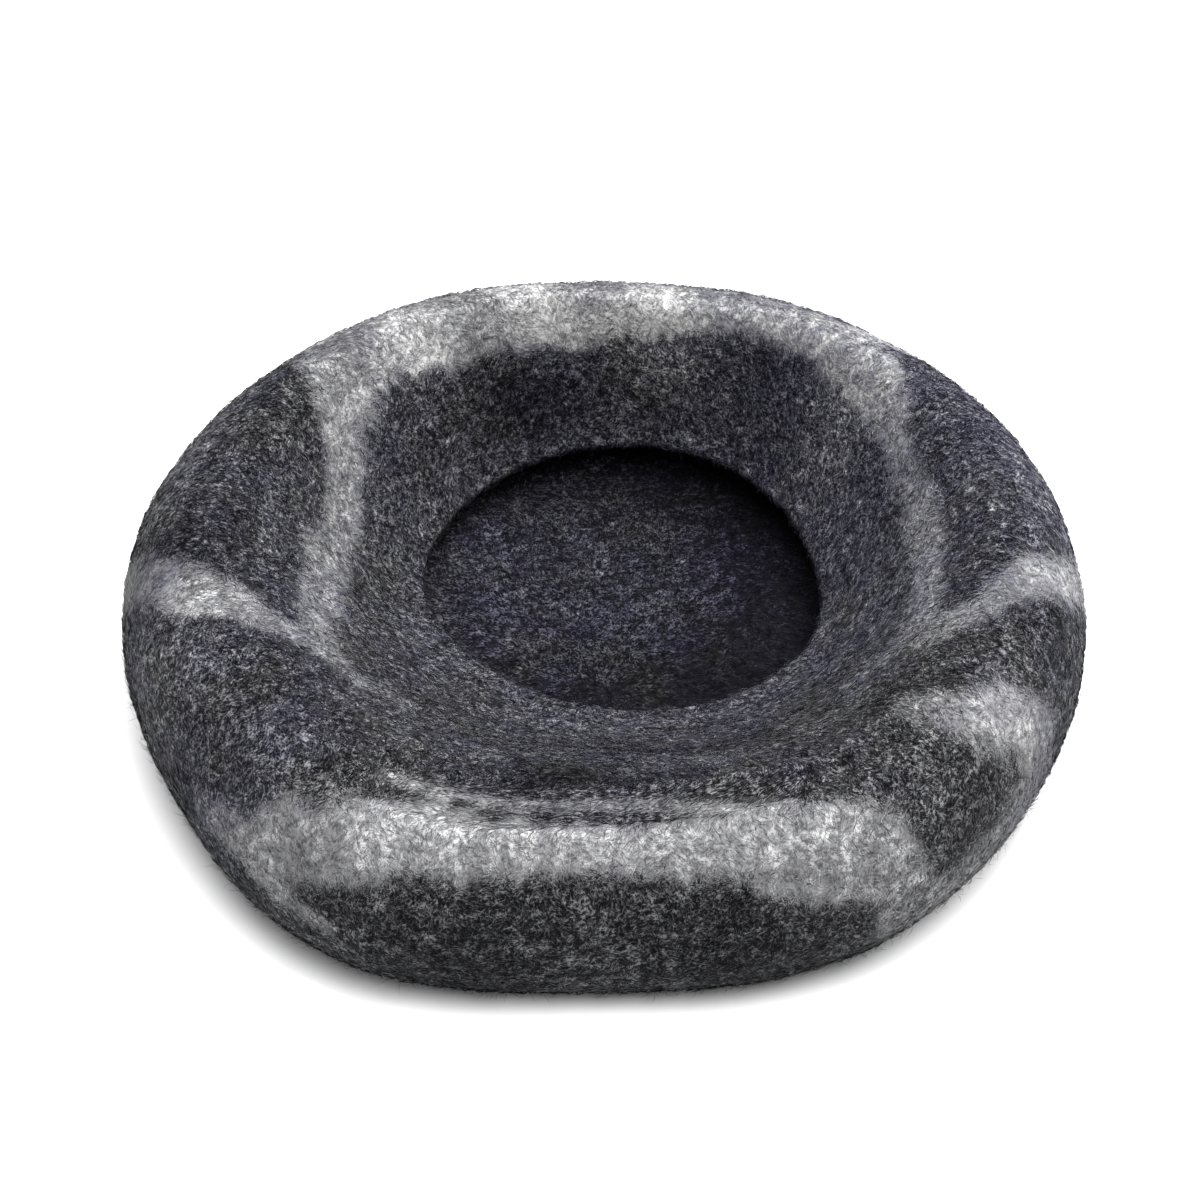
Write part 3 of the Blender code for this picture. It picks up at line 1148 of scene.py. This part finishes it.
    def tone(self, points: np.ndarray, hidden: np.ndarray) -> np.ndarray:
        """How much lighter or darker the shade is in broad patches, at each point: partly the wool's
        own uneven tone, partly painted light and shade.

        Args:
            points: the places.
            hidden: where the wool is that of the cave's inside: darker wool, with painted shade that
                deepens away from where the base lies most open.

        Returns:
            What to add to the shade.
        """
        tone = self.broad_tone * smooth_noise(points, self.broad_size, Seed.TONE)
        # Painted shade inside the cave, on top of its darker wool: it deepens away from where the base
        # lies most open.
        deep = np.linalg.norm(points[:, :2] - self.lit_inside, axis=1) / self.lit_reach
        darker = (deep - self.inside_fade_from).clip(0, self.inside_fade_run)
        inside = self.inside_wool_and_painted_shade * (self.inside_least + self.inside_shade_growth * darker)
        # The patches: partly painted light and shade, partly the wool's own tone.
        for patch in TONE_AND_PAINTED_LIGHT_PATCHES:
            centre = self.grid.place(patch.bearing, patch.inside * MM)
            away = np.linalg.norm(points - centre, axis=1) / (patch.radius * MM)
            tone += patch.shift * np.exp(-(away**2))
        return tone + np.where(hidden, inside, 0.0)

    def _map_for_bake(self, data: bpy.types.Mesh, points: np.ndarray) -> None:
        """A UV map for a bake: the visible face in four strips, the rest in two discs."""
        columns, rows = self.grid.points.shape[:2]
        tall = rows + self.edge_rows - 1
        visible = columns * tall
        corner = np.empty(len(data.loops), np.int32)
        data.loops.foreach_get("vertex_index", corner)
        sizes = np.empty(len(data.polygons), np.int32)
        data.polygons.foreach_get("loop_total", sizes)
        starts = np.cumsum(sizes) - sizes

        def of_face(pick: np.ufunc, values: np.ndarray) -> np.ndarray:
            """For each corner, the least or the most that the values reach in its face."""
            return np.repeat(pick.reduceat(values, starts), sizes)

        # The visible face: a strip for each quarter turn, two of them side by side.
        quarter = columns // 4
        column = corner % columns
        low = of_face(np.minimum, column)
        wraps = of_face(np.maximum, column) - low > columns // 2
        strip = np.where(wraps, columns - 1, low) // quarter
        across = np.where(wraps & (column < columns // 2), column + columns, column) - strip * quarter
        up = corner // columns / (tall - 1)
        margin, width, height = self.map_margin, self.map_strip[0], self.map_strip[1]
        strips = (
            (strip % 2) * width + margin + (width - 2 * margin) * across / quarter,
            1 - (strip // 2 + 1) * height + margin + (height - 2 * margin) * up,
        )

        # The rest: the hidden wall and the inside of the base in one disc, the underside in another.
        flat = points[corner][:, :2] - self.grid.points[:, 0, :2].mean(axis=0)
        reach = np.linalg.norm(flat, axis=1)
        ways = flat / np.maximum(reach, 1e-9)[:, None]
        under = of_face(np.maximum, points[corner][:, 2]) < 0.5 * MM
        along = np.where(under, reach / 0.22, self._hidden_radius(points, visible)[corner])
        disc = self.map_disc
        discs = (
            np.where(under, self.map_discs[1], self.map_discs[0]) + ways[:, 0] * along * disc,
            disc + margin + ways[:, 1] * along * disc,
        )

        shown = of_face(np.maximum, corner) < visible
        uv = np.where(shown, strips, discs).T
        layer = data.uv_layers.new(name="OFBake")
        layer.data.foreach_set("uv", uv.astype(np.float32).ravel())

    def _hidden_radius(self, points: np.ndarray, visible: int) -> np.ndarray:
        """Where each hidden point lies between the middle of the base, 0, and the entrance, 1."""
        radius = np.zeros(len(points))
        radius[:visible] = 1.0
        few = self.grid.points.shape[0] // self.coarse
        rings = len([*range(self.grid.points.shape[1] - 1, 0, -self.hidden_step), 0])
        index = np.arange(visible, min(visible + few * rings, len(points)))
        radius[index] = 1.0 - 0.5 * ((index - visible) // few + 1) / (rings + 1)
        rest = np.arange(visible + few * rings, len(points))
        radius[rest] = 0.5 * np.linalg.norm(points[rest][:, :2], axis=1) / 0.2
        return radius

    def declare(self, fuzz: Sequence[bpy.types.Object]) -> None:
        """Attaches the felt to the body, and hides the part that it stands for."""
        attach(self.piece, BODY)
        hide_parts(CAD_SHELL)


# ---------------------------------------------------------------------------------------------
# The fuzz
# ---------------------------------------------------------------------------------------------


class Zone(Enum):
    """The parts of the bed that carry their fuzz as one piece each."""

    OUTER_FRONT = "outer_front"
    OUTER_BACK = "outer_back"
    RIM = "rim"
    BOWL = "bowl"
    BASE = "base"
    EDGE = "entrance_edge"


@dataclass(frozen=True)
class Fibre:
    """How the fibres are shaped. Metres and radians."""

    length: float = 0.0058
    length_spread: float = 0.0020
    shortest: float = 0.0022
    width: float = 0.00034
    lift: float = 0.00060
    tilt: float = 0.08
    tilt_spread: float = 0.12
    bend: float = 0.0012
    stray: float = 0.55  # from the way the wool lies
    calm: float = 0.8  # how much neater they lie along the front crease, to 1
    loose: float = 0.12  # the share that stands away from the felt
    loose_length: float = 1.4  # of the others' length
    loose_width: float = 0.5  # of the others' width
    loose_tilt: float = 0.75
    root_depth: float = 0.0002


@dataclass(frozen=True)
class WoolShades:
    """The shades of the fibres over one kind of wool."""

    main: tuple[float, float]  # the shade of most of them, and its spread
    other: tuple[float, float]  # that of the rest
    share: float  # how many the rest are
    by_clump: float  # how many more where the fine noise is high
    by_spot: float  # how many more where the broad noise is high
    shift: float  # how much lighter all are there

    def pick(
        self,
        chance: np.ndarray,
        clump: np.ndarray,
        spot: np.ndarray,
        more: np.ndarray,
        random: np.random.Generator,
    ) -> np.ndarray:
        """A shade for each fibre.

        Args:
            chance: a random number for each, 0 to 1.
            clump: the fine noise there.
            spot: the broad noise there.
            more: what else is added to the shade.
            random: where the spread comes from.

        Returns:
            The shades.
        """
        other = random.normal(*self.other, len(chance))
        main = random.normal(*self.main, len(chance))
        often = self.share + self.by_clump * clump + self.by_spot * spot
        return np.where(chance < often, other, main) + (self.shift * clump + self.shift * spot + more)


@dataclass
class WoolFuzz:
    """The loose fibres on one part of the bed: thin bent spindles that lie on the felt."""

    SPINDLE: ClassVar = np.array([(0, 2, 1), (0, 3, 2), (0, 1, 3), (4, 1, 2), (4, 2, 3), (4, 3, 1)])

    zone: Zone
    shell: FeltShell
    count: int
    fibre: Fibre = Fibre()
    finish_material: bpy.types.Material | None = None
    dark: WoolShades = WoolShades((0.15, 0.06), (0.48, 0.08), 0.46, 0.16, 0.10, 0.06)
    light: WoolShades = WoolShades((0.82, 0.035), (0.67, 0.06), 0.20, -0.20, -0.16, 0.03)
    light_streak: float = 0.05
    light_tone: float = 0.8  # of the broad patches
    light_most: float = 0.88  # the lightest shade, before the broad patches
    rim: tuple[float, float] = (-0.012, 0.035)  # from and to this far inside the crest
    front_to: float = 0.03  # where the outer wall's front piece ends
    foot_share: float = 0.15  # how many fibres are left where the wall meets the floor
    noise_gain: float = 2.0  # the noise seldom reaches 1
    clump_size: float = 0.0036
    spot_size: float = 0.009
    edge_ragged: float = 0.0025
    edge_spread: float = 0.0020
    edge_soft: float = 0.0012
    shades: int = 32
    cells: int = 8
    base_reach: float = 0.135
    above_floor: float = 0.0002

    def zone_weight(self) -> np.ndarray:
        """1 where the zone is, 0 elsewhere, for each quad of the visible face."""
        grid = self.shell.grid
        inside = grid.inside[:, :-1]
        y = grid.points[:, :-1, 1]
        outer, bowl = inside < self.rim[0], inside > self.rim[1]
        masks = {
            Zone.OUTER_FRONT: outer & (y < self.front_to),
            Zone.OUTER_BACK: outer & (y >= self.front_to),
            Zone.RIM: ~outer & ~bowl,
            Zone.BOWL: bowl,
        }
        return masks[self.zone].astype(float)

    def scatter(self, random: np.random.Generator) -> tuple[np.ndarray, ...]:
        """Random places on the zone, evenly by area.

        Returns:
            The places, the felt's direction there, and what grid.felt holds there.
        """
        if self.zone is Zone.BASE:
            return self._on_base(random)
        if self.zone is Zone.EDGE:
            return self._on_edge(random)
        grid = self.shell.grid
        points, normals = grid.points, grid.normals
        a, d = points[:, :-1], points[:, 1:]
        b = np.roll(a, -1, axis=0)
        area = np.linalg.norm(np.cross(b - a, d - a), axis=2) * self.zone_weight()
        area[:, :2] *= self.foot_share
        share = (area / area.sum()).ravel()
        pick = random.choice(share.size, self.count, p=share)
        column, row = np.unravel_index(pick, area.shape)
        after = (column + 1) % len(points)
        u, v = random.random((2, self.count, 1))
        found = []
        for s in (points, normals, grid.felt):
            lower = s[column, row] * (1 - u) + s[after, row] * u
            upper = s[column, row + 1] * (1 - u) + s[after, row + 1] * u
            found.append(lower * (1 - v) + upper * v)
        return found[0], unit(found[1]), found[2]

    def _on_base(self, random: np.random.Generator) -> tuple[np.ndarray, ...]:
        """Random places on the part of the base that shows through the entrance."""
        form = self.shell.form
        middle = np.array(form.middle)
        tries = 3 * self.count
        reach = self.base_reach * np.sqrt(random.random(tries))
        turn = math.tau * random.random(tries)
        ways = np.stack([np.cos(turn), np.sin(turn)], axis=-1)
        flat = np.array(form.entrance) + reach[:, None] * ways
        foot = form.section_values(np.arctan2(flat[:, 1], flat[:, 0]))["foot"][:, 0]
        within = np.linalg.norm(flat, axis=1) < foot - 0.003
        flat = flat[within][: self.count] - middle
        count = len(flat)
        spots = np.concatenate([flat, np.full((count, 1), self.shell.thickness)], axis=1)
        normals = np.tile(UP, (count, 1))
        return spots, normals, np.tile((BARE, 1.0, 1.0, 0.0), (count, 1))

    def _on_edge(self, random: np.random.Generator) -> tuple[np.ndarray, ...]:
        """Random places on the rounded edge of the entrance."""
        grid, half = self.shell.grid, self.shell.thickness / 2
        column = random.integers(0, len(grid.points), self.count)
        turn = math.pi * random.random((self.count, 1))
        last, normal = grid.points[column, -1], grid.normals[column, -1]
        onward = unit(last - grid.points[column, -2])
        out = normal * np.cos(turn) + onward * np.sin(turn)
        return last - normal * half + out * half, out, grid.felt[column, -1]

    def tint(self, spots: np.ndarray, felt: np.ndarray, random: np.random.Generator) -> np.ndarray:
        """The shade of each fibre: that of the wool under it, with some of the other.

        Args:
            spots: where each fibre is.
            felt: what grid.felt holds there.
            random: where the chance comes from.

        Returns:
            The shades, 0 to 1.
        """
        count = len(spots)
        far, light, ragged, streak = felt.T
        clump = self.noise_gain * smooth_noise(spots, self.clump_size, Seed.CLUMP)
        spot = self.noise_gain * smooth_noise(spots, self.spot_size, Seed.SPOT)
        # The broad patches hold painted light and shade as well as the wool's own tone; on the base,
        # painted shade.
        tone = self.shell.tone(spots, np.full(count, self.zone is Zone.BASE))
        edge = far + ragged * (self.edge_ragged * clump + random.normal(0, self.edge_spread, count))
        in_band = random.random(count) < light / (1 + np.exp(edge / self.edge_soft))
        chance = random.random(count)
        dark_wool = self.dark.pick(chance, clump, spot, tone, random)
        light_wool = self.light.pick(chance, clump, spot, self.light_streak * streak, random)
        light_wool = light_wool.clip(max=self.light_most) + self.light_tone * tone
        return np.where(in_band, light_wool, dark_wool).clip(0.01, 0.95)

    def corners(
        self, spots: np.ndarray, normals: np.ndarray, random: np.random.Generator
    ) -> np.ndarray:
        """The five corners of each fibre: its root, three round its middle, and its tip.

        Args:
            spots: where each fibre is.
            normals: the felt's direction there.
            random: where the chance comes from.

        Returns:
            The corners, fibres x 5 x 3.
        """
        count, fibre, lie = len(spots), self.fibre, self.shell.lie
        layer = random.random(count) < 0.5
        first, second = (lie.directions(spots, normals, k) for k in (0, 1))
        ahead = np.where(layer[:, None], first, second)
        side = np.cross(normals, ahead)
        calm = 1 - fibre.calm * lie.drawn_along(spots)[:, None]
        stray = random.normal(0, fibre.stray, (count, 1)) * calm
        ahead = unit(ahead * np.cos(stray) + side * np.sin(stray))
        side = np.cross(normals, ahead)
        loose = random.random((count, 1)) < fibre.loose * calm
        length = fibre.length + fibre.length_spread * random.normal(0, 1, (count, 1))
        length = length.clip(fibre.shortest)
        length = np.where(loose, length * fibre.loose_length, length)
        tilt = np.abs(fibre.tilt + fibre.tilt_spread * random.normal(0, 1, (count, 1))) * calm
        tilt = np.where(loose, tilt + random.random((count, 1)) * fibre.loose_tilt, tilt)
        width = fibre.width * (0.65 + 0.7 * random.random((count, 1)))
        width = np.where(loose, fibre.loose_width * width, width)
        bend = fibre.bend * random.normal(0, 1, (count, 1)) * calm

        root = spots - normals * fibre.root_depth - ahead * length * 0.5
        rise = length * np.sin(tilt) * 0.8 + 0.0001
        tip = root + ahead * length * np.cos(tilt) + normals * rise
        lift = fibre.lift * calm * (0.5 + random.random((count, 1)))
        middle = (root + tip) / 2 + side * bend + normals * lift
        ring = []
        for turn in (0.5 * math.pi, 7 / 6 * math.pi, 11 / 6 * math.pi):
            away = side * math.sin(turn) + normals * math.cos(turn)
            ring.append(middle + away * width / 2)
        return np.stack([root, *ring, tip], axis=1)

    @staticmethod
    def _mesh(verts: np.ndarray, faces: np.ndarray) -> bpy.types.Mesh:
        """A smooth mesh of triangles."""
        data = bpy.data.meshes.new("fuzz")
        data.vertices.add(len(verts))
        data.vertices.foreach_set("co", verts.astype(np.float32).ravel())
        data.loops.add(faces.size)
        data.loops.foreach_set("vertex_index", faces.astype(np.int32).ravel())
        data.polygons.add(len(faces))
        data.polygons.foreach_set("loop_start", np.arange(0, faces.size, 3, dtype=np.int32))
        data.update(calc_edges=True)
        data.shade_smooth()
        return data

    def build(self) -> bpy.types.Object:
        """Makes the fibres."""
        random = np.random.default_rng(SEED + list(Zone).index(self.zone))
        spots, normals, felt = self.scatter(random)
        count = len(spots)
        verts = self.corners(spots, normals, random).reshape(-1, 3)
        verts[:, 2] = np.maximum(verts[:, 2], self.above_floor)
        faces = (np.arange(count)[:, None, None] * 5 + self.SPINDLE).reshape(-1, 3)
        data = self._mesh(verts, faces)

        shade = np.round(self.tint(spots, felt, random) * (self.shades - 1)).astype(int)
        violet = (self.shell.violet.share(spots) > random.random(count)).astype(int)
        store(data, "shade", np.repeat(shade / (self.shades - 1), 5))
        store(data, "violet", np.repeat(violet.astype(float), 5))
        store(data, "along", np.tile((0.0, 0.5, 0.5, 0.5, 1.0), count))
        self._map_for_bake(data, shade + self.shades * violet, faces)
        data.materials.append(self.finish_material)
        self.piece = new_object(f"wool_fuzz_{self.zone.value}", data)
        return self.piece

    def _map_for_bake(self, data: bpy.types.Mesh, colour: np.ndarray, faces: np.ndarray) -> None:
        """A UV map where every fibre of one colour fills the same cell."""
        spots = np.array([(0.5, 0.1), (0.2, 0.5), (0.5, 0.42), (0.8, 0.5), (0.5, 0.9)])
        cell = np.stack([colour % self.cells, colour // self.cells], axis=1)
        places = (cell[:, None, :] + spots[None]) / self.cells
        layer = data.uv_layers.new(name="OFBake")
        layer.data.foreach_set("uv", places.reshape(-1, 2)[faces.ravel()].astype(np.float32).ravel())

    def declare(self) -> None:
        """Attaches the fuzz to the body it rides on."""
        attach(self.piece, BODY)


# ---------------------------------------------------------------------------------------------
# The studio
# ---------------------------------------------------------------------------------------------


@dataclass(frozen=True)
class SoftLight:
    """One large soft light."""

    name: str
    place: tuple[float, float, float]
    aim: tuple[float, float, float]
    width: float
    power: float


@dataclass
class Studio:
    """The plain pale floor, the soft lights and the camera."""

    floor_size: float = 8.0
    world: float = 0.45
    camera_place: tuple[float, float, float] = (0.0, -1.16447, 1.00552)
    camera_aim: tuple[float, float, float] = (0.0, 0.0, 0.06)
    lens: float = 81.3
    shift: tuple[float, float] = (-0.0031, 0.0145)
    finish: StudioFinish = StudioFinish()
    lights: tuple[SoftLight, ...] = (
        SoftLight("overhead", (0.35, 0.10, 2.2), (0.0, 0.0, 0.05), 3.2, 115.0),
        SoftLight("key", (0.50, 0.55, 1.65), (0.0, 0.0, 0.05), 1.0, 42.0),
        SoftLight("front", (0.2, -1.35, 2.1), (0.0, 0.0, 0.05), 1.2, 60.0),
    )

    def build(self) -> None:
        """Makes the floor, the world, the lights and the camera."""
        bpy.ops.object.select_all(action="DESELECT")
        bpy.ops.mesh.primitive_plane_add(size=self.floor_size, location=(0.0, 0.0, 0.0))
        floor = bpy.context.object
        floor.name = "studio_floor"
        floor.data.materials.append(self.finish.material())
        world = bpy.data.worlds.new("studio")
        bpy.context.scene.world = world
        world.use_nodes = True
        background = world.node_tree.nodes["Background"]
        background.inputs["Color"].default_value = (1.0, 1.0, 1.0, 1.0)
        background.inputs["Strength"].default_value = self.world
        for light in self.lights:
            self._light(light)
        self._camera()

    @staticmethod
    def _aimed(place: Sequence[float], aim: Sequence[float]) -> Euler:
        """The rotation that looks from a place to another."""
        return (Vector(aim) - Vector(place)).to_track_quat("-Z", "Y").to_euler()

    def _light(self, light: SoftLight) -> None:
        """Adds one soft light."""
        lamp = bpy.data.lights.new(light.name, "AREA")
        lamp.shape = "DISK"
        lamp.size = light.width
        lamp.energy = light.power
        holder = bpy.data.objects.new(light.name, lamp)
        holder.location = light.place
        holder.rotation_euler = self._aimed(light.place, light.aim)
        bpy.context.scene.collection.objects.link(holder)

    def _camera(self) -> None:
        """Adds the camera at the photograph's viewing angle."""
        lens = bpy.data.cameras.new("camera")
        lens.lens = self.lens
        lens.sensor_width = 36.0
        lens.shift_x, lens.shift_y = self.shift
        camera = bpy.data.objects.new("camera", lens)
        camera.location = self.camera_place
        camera.rotation_euler = self._aimed(self.camera_place, self.camera_aim)
        bpy.context.scene.collection.objects.link(camera)
        bpy.context.scene.camera = camera
        bpy.context.scene.view_settings.view_transform = "Standard"


def main() -> None:
    """Builds and dresses every piece, in order."""
    logging.basicConfig(level=logging.INFO, format="%(name)s: %(message)s")
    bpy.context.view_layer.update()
    studio = Studio()
    studio.build()

    shell = FeltShell(FeltForm())
    shell.build()
    bands = BandMap.on(shell.grid)
    shell.dress(bands)
    log.info("%s: %d faces", shell.piece.name, len(shell.piece.data.polygons))

    fibre_finish = FuzzFinish().material()
    fuzz = []
    for zone, count in (
        (Zone.OUTER_FRONT, 31000),
        (Zone.OUTER_BACK, 28500),
        (Zone.RIM, 29000),
        (Zone.BOWL, 31000),
        (Zone.BASE, 7000),
        (Zone.EDGE, 5200),
    ):
        piece = WoolFuzz(zone, shell, count, finish_material=fibre_finish)
        piece.build()
        piece.declare()
        fuzz.append(piece.piece)
        log.info("%s: %d fibres", piece.piece.name, count)
    shell.declare(fuzz)

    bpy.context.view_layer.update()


if __name__ == "__main__":
    main()
